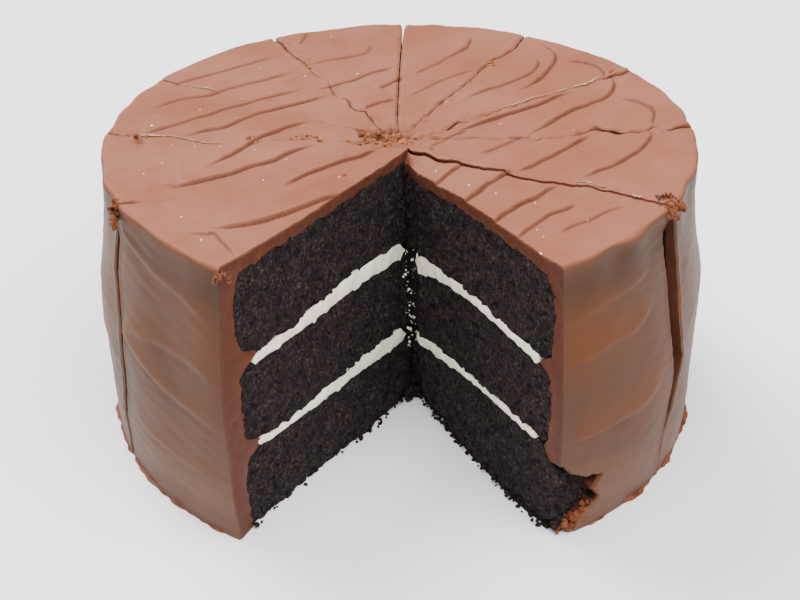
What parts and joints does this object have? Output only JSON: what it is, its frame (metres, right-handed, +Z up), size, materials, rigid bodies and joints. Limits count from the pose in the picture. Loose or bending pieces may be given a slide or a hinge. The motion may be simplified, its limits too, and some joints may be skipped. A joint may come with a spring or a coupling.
{
  "type": "layer cake",
  "caption": "Round chocolate layer cake with pale cream fillings and swept chocolate frosting, cut into slices, with a wedge already taken out.",
  "frame": {"origin": "on the surface the cake stands on, under the middle of the cake's box; the cake's own axis is 7.2 mm towards the front (-Y) of it", "axes": "+Z up, -Y out of the missing wedge, which is the front, +X to the right as seen from the front"},
  "size_m": [0.2468, 0.2324, 0.1204],
  "materials": {
    "frosting": "soft satin chocolate frosting, swept with a spatula",
    "sponge": "matt, very dark chocolate sponge with an open crumb",
    "cream": "matt ivory cream filling"
  },
  "bodies": {
    "root": {"slice_01_frosting": "frosting", "slice_01_sponge_top": "sponge", "slice_01_cream_upper": "cream", "slice_01_sponge_middle": "sponge", "slice_01_cream_lower": "cream", "slice_01_sponge_bottom": "sponge", "slice_02_frosting": "frosting", "slice_02_sponge_top": "sponge", "slice_02_cream_upper": "cream", "slice_02_sponge_middle": "sponge", "slice_02_cream_lower": "cream", "slice_02_sponge_bottom": "sponge", "slice_03_frosting": "frosting", "slice_03_sponge_top": "sponge", "slice_03_cream_upper": "cream", "slice_03_sponge_middle": "sponge", "slice_03_cream_lower": "cream", "slice_03_sponge_bottom": "sponge", "slice_04_frosting": "frosting", "slice_04_sponge_top": "sponge", "slice_04_cream_upper": "cream", "slice_04_sponge_middle": "sponge", "slice_04_cream_lower": "cream", "slice_04_sponge_bottom": "sponge", "slice_05_frosting": "frosting", "slice_05_sponge_top": "sponge", "slice_05_cream_upper": "cream", "slice_05_sponge_middle": "sponge", "slice_05_cream_lower": "cream", "slice_05_sponge_bottom": "sponge", "slice_06_frosting": "frosting", "slice_06_sponge_top": "sponge", "slice_06_cream_upper": "cream", "slice_06_sponge_middle": "sponge", "slice_06_cream_lower": "cream", "slice_06_sponge_bottom": "sponge", "slice_07_frosting": "frosting", "slice_07_sponge_top": "sponge", "slice_07_cream_upper": "cream", "slice_07_sponge_middle": "sponge", "slice_07_cream_lower": "cream", "slice_07_sponge_bottom": "sponge", "slice_08_frosting": "frosting", "slice_08_sponge_top": "sponge", "slice_08_cream_upper": "cream", "slice_08_sponge_middle": "sponge", "slice_08_cream_lower": "cream", "slice_08_sponge_bottom": "sponge", "slice_09_frosting": "frosting", "slice_09_sponge_top": "sponge", "slice_09_cream_upper": "cream", "slice_09_sponge_middle": "sponge", "slice_09_cream_lower": "cream", "slice_09_sponge_bottom": "sponge", "slice_10_frosting": "frosting", "slice_10_sponge_top": "sponge", "slice_10_cream_upper": "cream", "slice_10_sponge_middle": "sponge", "slice_10_cream_lower": "cream", "slice_10_sponge_bottom": "sponge"}
  },
  "joints": []
}
